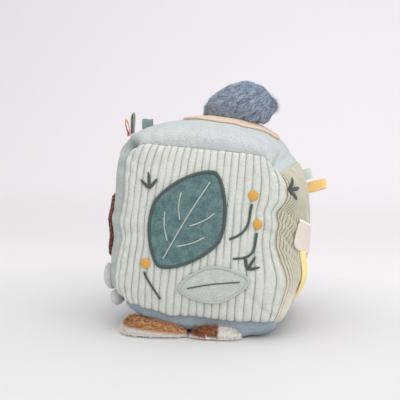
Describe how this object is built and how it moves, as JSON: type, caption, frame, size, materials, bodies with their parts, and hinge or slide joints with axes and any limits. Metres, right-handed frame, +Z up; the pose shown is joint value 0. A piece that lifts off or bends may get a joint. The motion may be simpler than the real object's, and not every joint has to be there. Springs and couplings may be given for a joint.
{
  "type": "soft fabric activity block",
  "caption": "Soft stuffed fabric cube for a baby, with a corduroy front, applique leaves, ribbon tags, plush pads under one edge and a fur pom-pom tied on top.",
  "frame": {"origin": "middle of the object's width and depth, on the floor it rests on", "axes": "+Z up, -Y out of the corduroy front, +X to the right of someone who looks at the front; the block leans 5.4 degrees towards +X"},
  "size_m": [0.1927, 0.1588, 0.2144],
  "materials": {
    "mint_cord": "wide-wale corduroy",
    "sage_cord": "fine corduroy",
    "sage_velour": "velour",
    "pale_velour": "velour",
    "blue_velour": "velour",
    "teal_velour": "velour",
    "grey_velour": "velour",
    "dark_thread": "satin stitch",
    "pale_thread": "satin stitch",
    "ochre_felt": "felt",
    "peach_velour": "velour",
    "blue_fur": "long pile fur",
    "brown_plush": "long pile plush",
    "cream_plush": "short pile plush",
    "brown_boucle": "curly boucle",
    "beige_velour": "velour",
    "lobe_grey": "velour",
    "yellow_ribbon": "satin ribbon",
    "orange_ribbon": "satin ribbon",
    "green_ribbon": "satin ribbon",
    "teal_ribbon": "satin ribbon",
    "grey_ribbon": "satin ribbon",
    "fibre_filling": "loose polyester fibre",
    "rattle_plastic": "matt",
    "bead_plastic": "gloss"
  },
  "bodies": {
    "block": {"front_panel": "mint_cord", "back_panel": "sage_velour", "top_panel": "pale_velour", "right_panel": "sage_cord", "bottom_panel": "blue_velour", "left_panel": "sage_velour", "filling_front": "fibre_filling", "filling_back": "fibre_filling", "rattle_shell_front": "rattle_plastic", "rattle_shell_back": "rattle_plastic", "leaf": "teal_velour", "leaf_border": "dark_thread", "leaf_vein_middle": "pale_thread", "leaf_vein_upper_left": "pale_thread", "leaf_vein_lower_left": "pale_thread", "leaf_vein_upper_right": "pale_thread", "leaf_vein_lower_right": "pale_thread", "pale_leaf": "grey_velour", "pale_leaf_border": "pale_thread", "pale_leaf_vein": "dark_thread", "berry_upper": "ochre_felt", "berry_middle": "ochre_felt", "berry_lower": "ochre_felt", "stem_upper": "dark_thread", "stem_middle": "dark_thread", "stem_lower": "dark_thread", "sprig_left": "dark_thread", "sprig_right": "dark_thread", "peach_disc": "peach_velour", "peach_disc_border": "peach_velour", "boucle_patch": "brown_boucle", "yellow_strip": "yellow_ribbon", "side_sprig": "dark_thread"},
    "pompom_knot": {"pompom_tie": "pale_thread"},
    "pompom_ball": {"pompom": "blue_fur"},
    "orange_loop": {"orange_tag": "orange_ribbon"},
    "green_loop": {"green_tag": "green_ribbon"},
    "teal_loop": {"teal_tag": "teal_ribbon"},
    "yellow_loop": {"yellow_tag": "yellow_ribbon"},
    "grey_loop": {"grey_tag": "grey_ribbon"},
    "upper_tab": {"tab_upper": "lobe_grey"},
    "lower_tab": {"tab_lower": "lobe_grey"},
    "flap": {"beige_flap": "beige_velour"},
    "left_pad": {"left_pad_sole": "cream_plush", "left_pad_cover": "brown_plush"},
    "front_pad": {"front_pad_sole": "cream_plush", "front_pad_cover": "brown_plush"},
    "bead_1": {"rattle_bead_1": "bead_plastic"},
    "bead_2": {"rattle_bead_2": "bead_plastic"},
    "bead_3": {"rattle_bead_3": "bead_plastic"}
  },
  "joints": [
    {"name": "pompom_nod", "type": "hinge", "parent": "block", "child": "pompom_knot", "pos_m": [0.01703, 0.00444, 0.18107], "axis": [0.9777, -0.0005, -0.2099], "range_deg": [-10, 10], "stiffness_Nm_per_rad": 0.03},
    {"name": "pompom_rock", "type": "hinge", "parent": "pompom_knot", "child": "pompom_ball", "pos_m": [0.01703, 0.00444, 0.18107], "axis": [-0.0012, 1, -0.0079], "range_deg": [-6, 12], "stiffness_Nm_per_rad": 0.03},
    {"name": "orange_tag_bend", "type": "hinge", "parent": "block", "child": "orange_loop", "pos_m": [-0.06767, -0.04534, 0.16401], "axis": [-0.0234, 0.9845, 0.1739], "range_deg": [-40, 30], "stiffness_Nm_per_rad": 0.001},
    {"name": "green_tag_bend", "type": "hinge", "parent": "block", "child": "green_loop", "pos_m": [-0.06894, -0.03032, 0.16554], "axis": [0.0059, 0.9955, 0.0948], "range_deg": [-40, 20], "stiffness_Nm_per_rad": 0.001},
    {"name": "teal_tag_bend", "type": "hinge", "parent": "block", "child": "teal_loop", "pos_m": [-0.06978, 0.03111, 0.16671], "axis": [-0.4578, 0.8852, -0.0823], "range_deg": [-40, 20], "stiffness_Nm_per_rad": 0.001},
    {"name": "yellow_tag_bend", "type": "hinge", "parent": "block", "child": "yellow_loop", "pos_m": [0.0711, 0.06616, 0.11089], "axis": [-0.2506, 0.3632, 0.8974], "range_deg": [-12, 40], "stiffness_Nm_per_rad": 0.001},
    {"name": "grey_tag_bend", "type": "hinge", "parent": "block", "child": "grey_loop", "pos_m": [0.07013, 0.06608, 0.12362], "axis": [-0.3453, 0.1925, 0.9185], "range_deg": [-12, 40], "stiffness_Nm_per_rad": 0.001},
    {"name": "upper_tab_swing", "type": "hinge", "parent": "block", "child": "upper_tab", "pos_m": [-0.08912, -0.02772, 0.05392], "axis": [-0.0525, 0.9986, -0.0089], "range_deg": [0, 60]},
    {"name": "lower_tab_swing", "type": "hinge", "parent": "block", "child": "lower_tab", "pos_m": [-0.08474, -0.0357, 0.03225], "axis": [-0.0325, 0.9991, -0.0272], "range_deg": [0, 30]},
    {"name": "flap_lift", "type": "hinge", "parent": "block", "child": "flap", "pos_m": [0.07898, -0.03204, 0.09266], "axis": [-0.2144, -0.9767, 0.0103], "range_deg": [0, 100]},
    {"name": "left_pad_fold", "type": "hinge", "parent": "block", "child": "left_pad", "pos_m": [-0.04615, -0.0316, 0.0015], "axis": [1, 0, 0], "range_deg": [0, 60]},
    {"name": "front_pad_fold", "type": "hinge", "parent": "block", "child": "front_pad", "pos_m": [0.00685, -0.0581, 0.0015], "axis": [1, 0, 0], "range_deg": [0, 60]},
    {"name": "bead_1_travel", "type": "slide", "parent": "block", "child": "bead_1", "axis": [0, 0, 1], "range_m": [0, 0.0145]},
    {"name": "bead_2_travel", "type": "slide", "parent": "block", "child": "bead_2", "axis": [0, 0, 1], "range_m": [0, 0.0185]},
    {"name": "bead_3_travel", "type": "slide", "parent": "block", "child": "bead_3", "axis": [0, 0, 1], "range_m": [0, 0.0145]}
  ]
}
